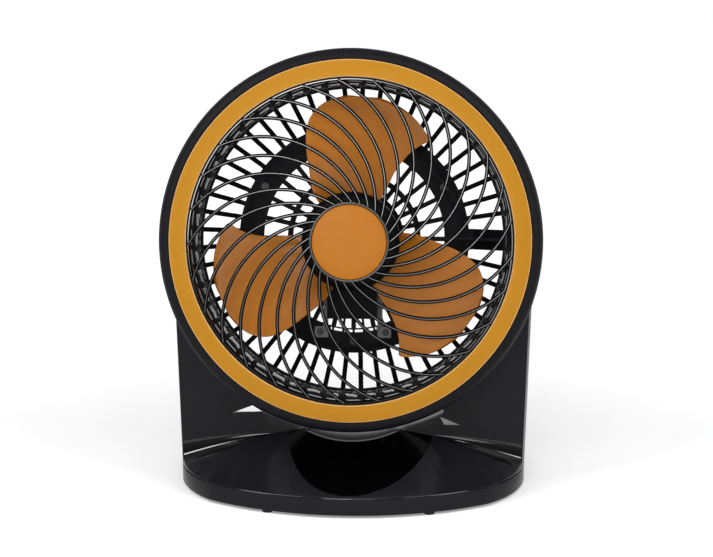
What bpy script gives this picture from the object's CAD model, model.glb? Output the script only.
import math

import bmesh
import bpy
from mathutils import Matrix, Vector


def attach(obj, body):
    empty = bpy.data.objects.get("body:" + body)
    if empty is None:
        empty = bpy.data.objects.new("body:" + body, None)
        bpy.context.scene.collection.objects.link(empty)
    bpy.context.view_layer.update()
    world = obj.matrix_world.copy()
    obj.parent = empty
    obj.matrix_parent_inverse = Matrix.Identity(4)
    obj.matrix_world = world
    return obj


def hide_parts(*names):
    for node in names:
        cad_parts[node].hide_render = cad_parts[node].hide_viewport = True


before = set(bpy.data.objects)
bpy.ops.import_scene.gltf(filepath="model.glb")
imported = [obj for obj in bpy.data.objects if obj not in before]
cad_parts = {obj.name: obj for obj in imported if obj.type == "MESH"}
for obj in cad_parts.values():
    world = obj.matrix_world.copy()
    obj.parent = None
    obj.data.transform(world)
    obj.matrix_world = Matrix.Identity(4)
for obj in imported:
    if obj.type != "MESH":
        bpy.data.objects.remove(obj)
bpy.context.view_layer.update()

scene = bpy.context.scene
scene.view_settings.view_transform = "Standard"

# The photographer's camera stands 1.3 m in front of the fan, a little to its right,
# and looks down on it by ten degrees. It aims below the middle of the ring.
ring_face = Vector((0, -0.0566, 0.2120))
camera_far = 1.3
camera_rise = math.radians(10)
camera_side = math.radians(2.6)
aim_right = 0.0055
aim_down = 0.0285
lens_length = 84.2
toward_camera = Vector((
    math.sin(camera_side) * math.cos(camera_rise),
    -math.cos(camera_side) * math.cos(camera_rise),
    math.sin(camera_rise)))
camera = bpy.data.objects.new("camera", bpy.data.cameras.new("camera"))
scene.collection.objects.link(camera)
scene.camera = camera
camera.data.sensor_width = 36
camera.data.lens = lens_length
camera.location = ring_face + camera_far * toward_camera
level_look = (-toward_camera).to_track_quat("-Z", "Y")
aim = ring_face + level_look @ Vector((aim_right, -aim_down, 0))
camera.rotation_euler = (aim - camera.location).to_track_quat("-Z", "Y").to_euler()

# The floor is a plain sheet of pale board that runs out to the horizon.
# It is nearly white, so that it keeps the soft shadow of the foot.
board_half = 8.0
board_white = (0.93, 0.93, 0.93, 1)
board_mesh = bmesh.new()
bmesh.ops.create_grid(board_mesh, x_segments=1, y_segments=1, size=board_half)
board_data = bpy.data.meshes.new("floor")
board_mesh.to_mesh(board_data)
floor = bpy.data.objects.new("floor", board_data)
scene.collection.objects.link(floor)
board = bpy.data.materials.new("pale_board")
board.use_nodes = True
board_shader = board.node_tree.nodes["Principled BSDF"]
board_shader.inputs["Base Color"].default_value = board_white
board_shader.inputs["Roughness"].default_value = 0.9
board_shader.inputs["Specular IOR Level"].default_value = 0.1
board_shader.inputs["Emission Color"].default_value = (1, 1, 1, 1)
board_nodes, board_links = board.node_tree.nodes, board.node_tree.links
board_path = board_nodes.new("ShaderNodeLightPath")
board_place = board_nodes.new("ShaderNodeTexCoord")
board_far = board_nodes.new("ShaderNodeVectorMath")
board_far.operation = "LENGTH"
board_fade = board_nodes.new("ShaderNodeMapRange")
board_fade.inputs["From Min"].default_value = 0.3
board_fade.inputs["From Max"].default_value = 1.6
board_fade.inputs["To Min"].default_value = 0.2
board_fade.inputs["To Max"].default_value = 0.7
board_lift = board_nodes.new("ShaderNodeMath")
board_lift.operation = "MULTIPLY"
board_links.new(board_place.outputs["Object"], board_far.inputs[0])
board_links.new(board_far.outputs["Value"], board_fade.inputs["Value"])
board_links.new(board_fade.outputs[0], board_lift.inputs[0])
board_links.new(board_path.outputs["Is Camera Ray"], board_lift.inputs[1])
board_links.new(board_lift.outputs[0], board_shader.inputs["Emission Strength"])
floor.data.materials.append(board)

# The studio is a pale tent, bright at the horizon and dimmer overhead and behind the
# camera. The camera itself sees plain white. One wide lamp and three narrow strips
# hang above, two tall lamps stand at the sides and two small ones beside the camera.
tent = bpy.data.worlds.new("studio")
scene.world = tent
tent.use_nodes = True
tent_nodes, tent_links = tent.node_tree.nodes, tent.node_tree.links
tent_light = tent_nodes["Background"]
tent_way = tent_nodes.new("ShaderNodeTexCoord")
tent_split = tent_nodes.new("ShaderNodeSeparateXYZ")
tent_fall = tent_nodes.new("ShaderNodeMapRange")
tent_fall.inputs["From Min"].default_value = 0.12
tent_fall.inputs["From Max"].default_value = 0.45
tent_fall.inputs["To Min"].default_value = 1.0
tent_fall.inputs["To Max"].default_value = 0.42
tent_front = tent_nodes.new("ShaderNodeMapRange")
tent_front.inputs["From Min"].default_value = -0.5
tent_front.inputs["From Max"].default_value = 0.3
tent_front.inputs["To Min"].default_value = 0.3
tent_front.inputs["To Max"].default_value = 1.0
tent_both = tent_nodes.new("ShaderNodeMath")
tent_both.operation = "MULTIPLY"
tent_links.new(tent_way.outputs["Generated"], tent_split.inputs[0])
tent_links.new(tent_split.outputs["Z"], tent_fall.inputs["Value"])
tent_links.new(tent_split.outputs["Y"], tent_front.inputs["Value"])
tent_links.new(tent_fall.outputs[0], tent_both.inputs[0])
tent_links.new(tent_front.outputs[0], tent_both.inputs[1])
tent_path = tent_nodes.new("ShaderNodeLightPath")
tent_seen = tent_nodes.new("ShaderNodeMath")
tent_seen.operation = "MAXIMUM"
tent_links.new(tent_both.outputs[0], tent_seen.inputs[0])
tent_links.new(tent_path.outputs["Is Camera Ray"], tent_seen.inputs[1])
tent_links.new(tent_seen.outputs[0], tent_light.inputs["Strength"])
tent_light.inputs["Color"].default_value = (1, 1, 1, 1)


def softbox(name, place, target, wide, tall, watts):
    """A rectangular lamp, its sizes in metres, that faces a target."""
    lamp = bpy.data.objects.new(name, bpy.data.lights.new(name, "AREA"))
    scene.collection.objects.link(lamp)
    lamp.data.shape = "RECTANGLE"
    lamp.data.size, lamp.data.size_y = wide, tall
    lamp.data.energy = watts
    lamp.location = place
    lamp.rotation_euler = (Vector(target) - Vector(place)).to_track_quat("-Z", "Y").to_euler()


foot_middle, stand_middle, guard_foot = (0, 0, 0.1), (0, 0, 0.15), (0, 0, 0.2)
softbox("lamp_above", (0, -0.35, 1.7), foot_middle, wide=1.6, tall=1.2, watts=3)
softbox("lamp_strip_left", (-0.95, -0.75, 1.4), foot_middle, wide=0.9, tall=0.16, watts=8)
softbox("lamp_strip_right", (0.95, -0.75, 1.4), foot_middle, wide=0.9, tall=0.16, watts=8)
softbox("lamp_strip", (0, -1.15, 1.4), guard_foot, wide=0.9, tall=0.08, watts=5)
softbox("lamp_left", (-1.3, -1.1, 0.75), stand_middle, wide=0.5, tall=1.2, watts=6.5)
softbox("lamp_right", (1.3, -1.1, 0.75), stand_middle, wide=0.5, tall=1.2, watts=6.5)
softbox("lamp_front", (0.05, -1.65, 0.45), ring_face, wide=0.5, tall=0.5, watts=3)
softbox("lamp_front_left", (-0.22, -1.62, 0.55), ring_face, wide=0.36, tall=0.36, watts=4)

# The stand is one black moulding: an open foot with a sloping nose, two upright
# wings with the pivot eyes at their tops, and a round cradle cut under the ring.
mm = 0.001
gloss_swing = 0.05
grain_height = 0.5 * mm
double_gap = 0.004 * mm
flat_turn = math.radians(0.6)


def finish_of(name, colour, rough, spread=0.12, grain=1400, dent=0.02, metal=0.0,
              level=0.5, patch=30):
    """A plastic or metal with soft drifts of tone, a fine grain and uneven gloss."""
    made = bpy.data.materials.new(name)
    made.use_nodes = True
    nodes, links = made.node_tree.nodes, made.node_tree.links
    shader = nodes["Principled BSDF"]
    shader.inputs["Metallic"].default_value = metal
    shader.inputs["Specular IOR Level"].default_value = level
    where = nodes.new("ShaderNodeTexCoord")
    drift = nodes.new("ShaderNodeTexNoise")
    drift.inputs["Scale"].default_value = patch
    drift.inputs["Detail"].default_value = 5
    links.new(where.outputs["Object"], drift.inputs["Vector"])
    tone = nodes.new("ShaderNodeMix")
    tone.data_type = "RGBA"
    tone.inputs["A"].default_value = [c * (1 - spread) for c in colour] + [1]
    tone.inputs["B"].default_value = [min(1, c * (1 + spread)) for c in colour] + [1]
    links.new(drift.outputs["Fac"], tone.inputs["Factor"])
    links.new(tone.outputs["Result"], shader.inputs["Base Color"])
    gloss = nodes.new("ShaderNodeMapRange")
    gloss.inputs["To Min"].default_value = rough - gloss_swing
    gloss.inputs["To Max"].default_value = rough + gloss_swing
    links.new(drift.outputs["Fac"], gloss.inputs["Value"])
    links.new(gloss.outputs[0], shader.inputs["Roughness"])
    fine = nodes.new("ShaderNodeTexNoise")
    fine.inputs["Scale"].default_value = grain
    fine.inputs["Detail"].default_value = 2
    links.new(where.outputs["Object"], fine.inputs["Vector"])
    relief = nodes.new("ShaderNodeBump")
    relief.inputs["Strength"].default_value = dent
    relief.inputs["Distance"].default_value = grain_height
    links.new(fine.outputs["Fac"], relief.inputs["Height"])
    links.new(relief.outputs[0], shader.inputs["Normal"])
    return made


def from_node(name):
    """A CAD node's mesh with its doubles merged and its flat faces joined."""
    work = bmesh.new()
    work.from_mesh(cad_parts[name].data)
    bmesh.ops.remove_doubles(work, verts=work.verts, dist=double_gap)
    bmesh.ops.dissolve_limit(work, angle_limit=flat_turn, verts=work.verts, edges=work.edges)
    return work


def soften(work, width, turn=30):
    """Rounds every edge that turns sharply, by a width in mm."""
    sharp = [e for e in work.edges
             if len(e.link_faces) == 2 and e.calc_face_angle(0) > math.radians(turn)]
    bmesh.ops.bevel(work, geom=sharp, offset=width * mm, segments=2, profile=0.5,
                    affect="EDGES", material=-1, clamp_overlap=True)


def piece(name, work, finish, body, stands_for, turn=40):
    """Makes the mesh an object that rides on a body and stands for CAD nodes."""
    data = bpy.data.meshes.new(name)
    work.to_mesh(data)
    work.free()
    data.shade_smooth()
    data.set_sharp_from_angle(angle=math.radians(turn))
    made = bpy.data.objects.new(name, data)
    scene.collection.objects.link(made)
    data.materials.append(finish)
    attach(made, body)
    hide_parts(*stands_for)
    return made


stand_black = finish_of("stand_black", (0.011, 0.011, 0.0125), 0.22, level=0.1,
                        grain=2600, dent=0.01)
crease_gloss = finish_of("crease_gloss", (0.004, 0.004, 0.0045), 0.07, level=0.45,
                         grain=2600, dent=0.002)
lip_top = 16.5
lip_round = 1.2
lip_front_y = -30
square_least, square_most = math.radians(86), math.radians(94)


def on_lip(corner):
    """Whether a corner lies on the top of the foot's lip, in front of the wings."""
    at_top = abs(corner.co.z - lip_top * mm) < 0.1 * mm
    return at_top and corner.co.y < lip_front_y * mm


stand_work = from_node("stand_shell")
lip_edges = [e for e in stand_work.edges
             if len(e.link_faces) == 2 and e.is_convex
             and square_least < e.calc_face_angle(0) < square_most
             and all(on_lip(corner) for corner in e.verts)]
bmesh.ops.bevel(stand_work, geom=lip_edges, offset=lip_round * mm, segments=4, profile=0.5,
                affect="EDGES", material=1, clamp_overlap=False)
soften(stand_work, 0.7)
stand_body = piece("stand_body", stand_work, stand_black, "stand", ["stand_shell"])
stand_body.data.materials.append(crease_gloss)

# Where the nose meets the wings the moulding has a wide fillet, which tapers inward
# to nothing beside the cradle. It is lofted here from sections along each crease.
wall_y = -15
nose_mid_y, nose_r = 102, 197
nose_fall = math.tan(math.radians(23.5))
corner_x, corner_y, corner_r = 43, 9, 100
pivot_z, cradle_r = 205.7, 162.3
fillet_in = 68
fillet_least, fillet_gain, fillet_swell = 0.6, 14.4, 0.8
fillet_squash = 0.95
sink = 0.05
side_gap = 0.35
fillet_steps, arc_steps = 44, 12


def nose_z(x, y):
    """The height of the sloping nose, a part of a wide cone."""
    return lip_top + (nose_r - math.hypot(x, y - nose_mid_y)) * nose_fall


def fillet_section(u):
    """One closed section of the fillet, u from its inner end to the side of the foot."""
    reach = fillet_least + fillet_gain * u ** fillet_swell
    low = reach * fillet_squash
    points = []
    for k in range(arc_steps + 1):
        t = k / arc_steps
        y = wall_y + sink - (low + sink) * t ** 2
        side = corner_x + math.sqrt(corner_r ** 2 - (y - corner_y) ** 2) - side_gap
        x = fillet_in + u * (side - fillet_in)
        crease, foot = nose_z(x, wall_y), nose_z(x, wall_y - low) - sink
        z = (1 - t) ** 2 * (crease + reach) + 2 * t * (1 - t) * crease + t ** 2 * foot
        points.append((x, y, min(z, pivot_z - math.sqrt(cradle_r ** 2 - x ** 2))))
    x, y, z = points[-1]
    points.append((x, y, z - 1))
    x, y, z = points[0]
    crease = nose_z(x, wall_y)
    points += [(x, wall_y + 1, crease - 2), (x, wall_y + 1, z)]
    return points


fillet_work = bmesh.new()
for hand in (-1, 1):
    rows = [[fillet_work.verts.new((hand * x * mm, y * mm, z * mm))
             for x, y, z in fillet_section(k / fillet_steps)]
            for k in range(fillet_steps + 1)]
    for row_a, row_b in zip(rows, rows[1:]):
        for a, b, c, d in zip(row_a, row_a[1:] + row_a[:1], row_b[1:] + row_b[:1], row_b):
            fillet_work.faces.new((a, b, c, d))
    fillet_work.faces.new(rows[0])
    fillet_work.faces.new(rows[-1])
bmesh.ops.recalc_face_normals(fillet_work, faces=fillet_work.faces)
piece("nose_fillets", fillet_work, crease_gloss, "stand", ["stand_shell"])

# The oval on the nose is a separate inlay of polished black sheet, glued into
# a shallow pocket. It is bare.
panel_gloss = finish_of("panel_gloss", (0.0008, 0.0008, 0.001), 0.12, level=0.1,
                        grain=300, dent=0.003)
panel_work = from_node("front_panel")
piece("nose_inlay", panel_work, panel_gloss, "stand", ["front_panel"], turn=20)


# The bottom of the stand is closed by a flat plate on four screws, with four
# rubber pads glued under it.
def dress(node, finish):
    """Gives a CAD node that stays its finish."""
    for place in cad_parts[node].material_slots:
        place.material = finish


rubber = finish_of("rubber", (0.012, 0.012, 0.012), 0.7, spread=0.25, level=0.25,
                   grain=900, dent=0.1)
steel = finish_of("steel", (0.55, 0.55, 0.56), 0.3, spread=0.1, metal=1.0,
                  grain=2200, dent=0.05)
zinc = finish_of("zinc_plate", (0.6, 0.59, 0.56), 0.38, spread=0.16, metal=1.0,
                 grain=1500, dent=0.06)
dress("base_plate", stand_black)
dress("base_pads", rubber)
dress("base_screws", zinc)

# The speed switch sits inside the rear of the foot. A nut holds its threaded neck,
# and a black knob is pushed on its shaft.
switch_grey = finish_of("switch_grey", (0.05, 0.05, 0.055), 0.5)
knob_black = finish_of("knob_black", (0.01, 0.01, 0.0105), 0.4, level=0.35)
dress("switch_body", switch_grey)
dress("switch_nut", zinc)
dress("switch_shaft", steel)
knob_work = from_node("speed_knob")
soften(knob_work, 0.35)
piece("knob", knob_work, knob_black, "knob", ["speed_knob"])

# The mains inlet is a rubber bush in the rear wall, with a nylon terminal block
# behind it on the base plate.
nylon = finish_of("nylon", (0.62, 0.6, 0.52), 0.5, spread=0.08)
dress("cord_bush", rubber)
dress("terminal_block", nylon)

# Two steel pivot bolts carry the head in the eyes of the wings, each with a rubber
# washer that holds the tilt and a nut inside the duct's boss.
dress("pivot_bolts", steel)
dress("pivot_nuts", zinc)
dress("pivot_washers", rubber)

# The ring housing is a black moulding, turned here from its section: a rounded rim,
# a groove for the coloured trim, and a throat behind it.
pivot_y = -12
head_turn = math.radians(82)
head_place = (Matrix.Translation(Vector((0, pivot_y, pivot_z)) * mm)
              @ Matrix.Rotation(head_turn, 4, "X"))
face_fwd = 45
ring_r = 151.5
rim_back = 20
throat_r = 125.5
rib_low = 40.5
flange_top = 22.3
hoop_out_r = 127.5
trim_in_r, trim_out_r = 128.4, 142
duct_in_r = 124.5


def turned(profile, steps=192, width=0):
    """Spins a closed section, given in mm as radius and level, round the head's axis."""
    work = bmesh.new()
    corners = [work.verts.new((r * mm, 0, z * mm)) for r, z in profile]
    sides = [work.edges.new(pair) for pair in zip(corners, corners[1:] + corners[:1])]
    bmesh.ops.spin(work, geom=corners + sides, cent=(0, 0, 0), axis=(0, 0, 1),
                   angle=math.tau, steps=steps, use_merge=True)
    bmesh.ops.remove_doubles(work, verts=work.verts, dist=0.002 * mm)
    bmesh.ops.recalc_face_normals(work, faces=work.faces)
    if width:
        soften(work, width, 25)
    return work


wall_slack = 0.2
facing_in = 0.9


def polish_walls(work, wall_r):
    """Gives the second finish to the smooth wall that looks in towards the head's axis."""
    work.normal_update()
    for face in work.faces:
        middle = face.calc_center_median()
        across = Vector((middle.x, middle.y, 0))
        at_wall = abs(across.length - wall_r * mm) < wall_slack * mm
        if at_wall and face.normal.dot(across) < -facing_in * across.length:
            face.material_index = 1


wall_gloss = finish_of("wall_gloss", (0.005, 0.005, 0.006), 0.1, level=0.4,
                       grain=2600, dent=0.004)
head_black = finish_of("head_black", (0.0045, 0.0042, 0.0062), 0.5, level=0.12, grain=2600)
rim_section = [
    (throat_r, flange_top + 0.1), (throat_r, rib_low - 0.1), (hoop_out_r, rib_low - 0.1),
    (hoop_out_r, face_fwd - 0.6), (trim_in_r - 0.05, face_fwd - 0.6), (trim_in_r - 0.05, 42.55),
    (trim_out_r + 0.8, 41.3), (trim_out_r + 0.8, face_fwd - 1.7),
    (ring_r - 7.4, face_fwd - 1.9), (ring_r - 4.2, face_fwd - 3.2),
    (ring_r - 2.1, face_fwd - 5.4), (ring_r - 0.8, face_fwd - 8.4), (ring_r, face_fwd - 13),
    (ring_r, rim_back), (ring_r - 2.4, rim_back), (ring_r - 2.4, 32), (ring_r - 3.8, 36.6),
    (ring_r - 5.8, 38), (132.8, 40), (130, 38), (130, flange_top + 0.1)]
rim_work = turned(rim_section, width=0.3)
polish_walls(rim_work, throat_r)
bmesh.ops.transform(rim_work, matrix=head_place, verts=rim_work.verts)
housing = piece("ring_housing", rim_work, head_black, "head", ["front_ring"], turn=30)
housing.data.materials.append(wall_gloss)

# The trim is a flat plastic ring in satin gold paint, pressed into the groove of
# the housing. Its face falls gently outwards, and its chamfers are paler.
gold_paint = finish_of("gold_paint", (0.375, 0.165, 0.008), 0.42, spread=0.05, metal=0.1,
                       grain=3200, dent=0.04, level=0.14)
trim_section = [
    (trim_in_r, 42.65), (trim_out_r, 41.4), (trim_out_r, 43.2), (trim_out_r - 0.7, 43.9),
    (138, 44.3), (134.5, 44.7), (131, 45), (trim_in_r + 0.7, 45), (trim_in_r, 44.3)]
trim_work = turned(trim_section)
trim_work.normal_update()
chamfer_least, chamfer_most = 0.3, 0.9
for face in trim_work.faces:
    if chamfer_least < face.normal.z < chamfer_most:
        face.material_index = 1
bmesh.ops.transform(trim_work, matrix=head_place, verts=trim_work.verts)
gold_edge = finish_of("gold_edge", (0.62, 0.36, 0.14), 0.36, spread=0.08, metal=0.1,
                      grain=3200, dent=0.04, level=0.3)
trim = piece("gold_trim", trim_work, gold_paint, "head", ["trim_ring"], turn=30)
trim.data.materials.append(gold_edge)

# The front grille is moulded in one: a hoop that seats in the housing, twenty-nine
# spiral ribs with rounded fronts, and a middle disc.
grille_matt = finish_of("grille_matt", (0.0015, 0.0015, 0.0018), 0.6, level=0.04, grain=2600)
grille_gloss = finish_of("grille_gloss", (0.002, 0.002, 0.0024), 0.1, level=1.0,
                         grain=2600, dent=0.002)
disc_black = finish_of("disc_black", (0.002, 0.002, 0.0024), 0.2, grain=2600, dent=0.003)
rib_count = 29
rib_half = 1.45
crest_half = 0.36
shoulder_half = 0.9
flank_half = 1.3
rib_top = 45.5
rib_curve_r = 82
rib_curve_off = 68
disc_r = 31.3
disc_top = 52
facing_front = 0.97


def rib_angle(r):
    """The angle round the axis, from the centre of the rib's curve, at a radius."""
    return math.acos((r * r + rib_curve_off ** 2 - rib_curve_r ** 2) / (2 * r * rib_curve_off))


def rib_turn(r):
    """The angle round the centre of the rib's curve at a radius from the axis."""
    return math.atan2(-r * math.sin(rib_angle(r)), r * math.cos(rib_angle(r)) - rib_curve_off)


def polish_crests(work):
    """Gives the second finish to the faces that look straight out of the front."""
    work.normal_update()
    for face in work.faces:
        if face.normal.z > facing_front:
            face.material_index = 1


rib_work = bmesh.new()
rib_section = [
    (-0.85, rib_low + 0.5), (-0.4, rib_low), (0.4, rib_low), (0.85, rib_low + 0.5),
    (flank_half, rib_top - 2.8), (rib_half, rib_top - 1.9), (flank_half, rib_top - 1),
    (shoulder_half, rib_top - 0.32), (crest_half, rib_top - 0.04), (crest_half / 2, rib_top),
    (-crest_half / 2, rib_top), (-crest_half, rib_top - 0.04), (-shoulder_half, rib_top - 0.32),
    (-flank_half, rib_top - 1), (-rib_half, rib_top - 1.9), (-flank_half, rib_top - 2.8)]
rib_from, rib_to = rib_turn(disc_r - 0.8), rib_turn(hoop_out_r - 1)
rib_corners = [
    rib_work.verts.new(((rib_curve_off + (rib_curve_r + s) * math.cos(rib_from)) * mm,
                        (rib_curve_r + s) * math.sin(rib_from) * mm, z * mm))
    for s, z in rib_section]
rib_sides = [rib_work.edges.new(pair)
             for pair in zip(rib_corners, rib_corners[1:] + rib_corners[:1])]
bmesh.ops.spin(rib_work, geom=rib_corners + rib_sides, cent=(rib_curve_off * mm, 0, 0),
               axis=(0, 0, 1), angle=rib_to - rib_from, steps=28)
bmesh.ops.holes_fill(rib_work, edges=[e for e in rib_work.edges if e.is_boundary])
first_rib = list(rib_work.verts) + list(rib_work.edges) + list(rib_work.faces)
rib_end_turn = math.radians(7.7)
first_turn = rib_end_turn + rib_angle(hoop_out_r - 1)
for k in range(1, rib_count):
    copied = bmesh.ops.duplicate(rib_work, geom=first_rib)["geom"]
    bmesh.ops.rotate(rib_work, cent=(0, 0, 0),
                     matrix=Matrix.Rotation(k * math.tau / rib_count, 3, "Z"),
                     verts=[g for g in copied if isinstance(g, bmesh.types.BMVert)])
bmesh.ops.rotate(rib_work, cent=(0, 0, 0), matrix=Matrix.Rotation(first_turn, 3, "Z"),
                 verts=rib_work.verts)
bmesh.ops.recalc_face_normals(rib_work, faces=rib_work.faces)
polish_crests(rib_work)
bmesh.ops.transform(rib_work, matrix=head_place, verts=rib_work.verts)
ribs = piece("grille_ribs", rib_work, grille_matt, "head", ["front_grille"])
ribs.data.materials.append(grille_gloss)

hoop_work = turned([
    (throat_r, rib_low), (hoop_out_r, rib_low), (hoop_out_r, 44), (126.9, 44.6),
    (126.3, 44.6), (throat_r, 43.6)])
polish_crests(hoop_work)
bmesh.ops.transform(hoop_work, matrix=head_place, verts=hoop_work.verts)
hoop = piece("grille_hoop", hoop_work, grille_matt, "head", ["front_grille"])
hoop.data.materials.append(grille_gloss)
disc_in_r, cap_r = 28.3, 29.3
disc_work = turned([
    (disc_in_r, rib_low), (disc_r, rib_low), (disc_r, disc_top), (cap_r + 0.05, disc_top),
    (cap_r + 0.05, 48), (0, 48), (0, 46), (disc_in_r, 46)], steps=128, width=0.4)
bmesh.ops.transform(disc_work, matrix=head_place, verts=disc_work.verts)
piece("grille_disc", disc_work, disc_black, "head", ["front_grille"])

# The cap is a shallow gold button pressed into the middle disc. It is bare.
cap_work = turned([
    (0, 48.05), (cap_r, 48.05), (cap_r, 51), (28.9, 51.45), (28, 51.6), (20, 51.72),
    (10, 51.8), (0, 51.82)], steps=128)
bmesh.ops.transform(cap_work, matrix=head_place, verts=cap_work.verts)
cap_orange = finish_of("cap_orange", (0.33, 0.108, 0.001), 0.38, spread=0.06, metal=0.1,
                       grain=3200, dent=0.04, level=0.2)
piece("gold_cap", cap_work, cap_orange, "head", ["hub_cap"], turn=35)

# Four screws hold the housing to the rear shell from behind.
dress("ring_screws", zinc)

# The rear shell is a black duct with a flange at its front, small ribs along its
# wall, and two bosses for the pivot bolts.
shell_work = from_node("rear_shell")
soften(shell_work, 0.25)
bmesh.ops.transform(shell_work, matrix=head_place.inverted(), verts=shell_work.verts)
polish_walls(shell_work, duct_in_r)
bmesh.ops.transform(shell_work, matrix=head_place, verts=shell_work.verts)
duct = piece("duct_shell", shell_work, head_black, "head", ["rear_shell"])
duct.data.materials.append(wall_gloss)

# The rear guard has straight ribs from a hoop in the duct to a band, and the motor
# plate closes its middle with more spokes. Three screws join the two.
guard_work = from_node("rear_guard")
soften(guard_work, 0.3)
piece("guard_outer", guard_work, head_black, "head", ["rear_guard"])
plate_work = from_node("motor_plate")
soften(plate_work, 0.3)
piece("guard_middle", plate_work, head_black, "head", ["motor_plate"])
screw_black = finish_of("screw_black", (0.012, 0.012, 0.013), 0.35, metal=0.6, grain=1800)
dress("guard_screws", screw_black)

# The motor is a shaded-pole one: a stack of steel sheets, a coil on a black bobbin
# round its lower bar, copper shading rings, two brackets with bronze bushes, and
# screws and straps that hold it on its plate.
copper = finish_of("copper_wire", (0.5, 0.17, 0.06), 0.35, spread=0.2, metal=1.0,
                   grain=1800, dent=0.3)
bronze = finish_of("bronze", (0.45, 0.28, 0.1), 0.4, spread=0.15, metal=1.0)
bobbin_black = finish_of("bobbin_black", (0.0025, 0.0025, 0.0022), 0.6, level=0.12)
dress("stator_core", steel)
dress("coil_bobbin", bobbin_black)
dress("coil_winding", copper)
dress("shading_rings", copper)
for part in ("front_bracket", "rear_bracket", "motor_screws"):
    dress(part, zinc)
dull_steel = finish_of("dull_steel", (0.12, 0.12, 0.12), 0.5, spread=0.3, metal=0.7,
                       grain=1500, dent=0.1)
dress("motor_strap", dull_steel)
dress("strap_screws", screw_black)
dress("motor_bushes", bronze)
dress("motor_lead", rubber)
dress("rotor", steel)
dress("shaft", steel)

# The hub of the impeller is a black cup moulded with three gold blades round it,
# held on the shaft by a nut.
hub_black = finish_of("hub_black", (0.003, 0.003, 0.003), 0.5, level=0.15)
hub_work = from_node("impeller_hub")
soften(hub_work, 0.3)
piece("hub_cup", hub_work, hub_black, "impeller", ["impeller_hub"])
dress("shaft_nut", zinc)

# Each blade is a thin curved sheet of amber plastic. Its outline is given from the
# front: the radius as a share of the tip's, and the angles of its two edges.
blade_amber = finish_of("blade_amber", (0.46, 0.155, 0.014), 0.26, spread=0.04, level=0.35,
                        grain=2600, patch=12)
blade_rows = [
    (0.34, 55, 130), (0.40, 55.8, 128), (0.48, 57.2, 125), (0.57, 58.4, 120),
    (0.66, 57.7, 117.5), (0.76, 56.5, 114.5), (0.84, 53.6, 111.5), (0.885, 51.6, 109.5),
    (0.92, 57, 107), (0.96, 63.5, 103.3), (0.985, 69.5, 99), (1, 78, 92)]
tip_r = 115
hub_r = 39
blade_mid = 12
root_deep, tip_deep = 30, 24
pitch_share, belly = 0.8, 14
blade_count = 3
last_row = len(blade_rows) - 1
_, full_from, full_to = blade_rows[4]
blade_work = bmesh.new()
for n in range(blade_count):
    grid = bmesh.ops.create_grid(blade_work, x_segments=14, y_segments=last_row, size=0.5)
    for corner in grid["verts"]:
        row = round((corner.co.y + 0.5) * last_row)
        across = corner.co.x + 0.5
        share, edge_a, edge_b = blade_rows[row]
        r = hub_r - 0.6 if row == 0 else max(hub_r + 1.5 + row / 10, share * tip_r)
        a = edge_a + (edge_b - edge_a) * across
        deep = root_deep + (tip_deep - root_deep) * (r - hub_r) / (tip_r - hub_r)
        lift = ((a - full_from) / (full_to - full_from) - 0.5) * deep * pitch_share
        sag = belly * (across - across ** 2) * (1 - r / tip_r / 2)
        turn = math.radians(a + 360 / blade_count * n)
        height = blade_mid + lift - sag
        corner.co = Vector((r * math.cos(turn), r * math.sin(turn), height)) * mm
bmesh.ops.recalc_face_normals(blade_work, faces=blade_work.faces)
bmesh.ops.transform(blade_work, matrix=head_place, verts=blade_work.verts)
blades = piece("amber_blades", blade_work, blade_amber, "impeller", ["impeller_blades"])
rounding = blades.modifiers.new("rounding", "SUBSURF")
rounding.levels = rounding.render_levels = 2
thickness = blades.modifiers.new("thickness", "SOLIDIFY")
thickness.thickness = 2 * mm
thickness.offset = 0
edge_round = blades.modifiers.new("edge_round", "BEVEL")
edge_round.width = 0.8 * mm
edge_round.segments = 3
edge_round.angle_limit = math.radians(50)
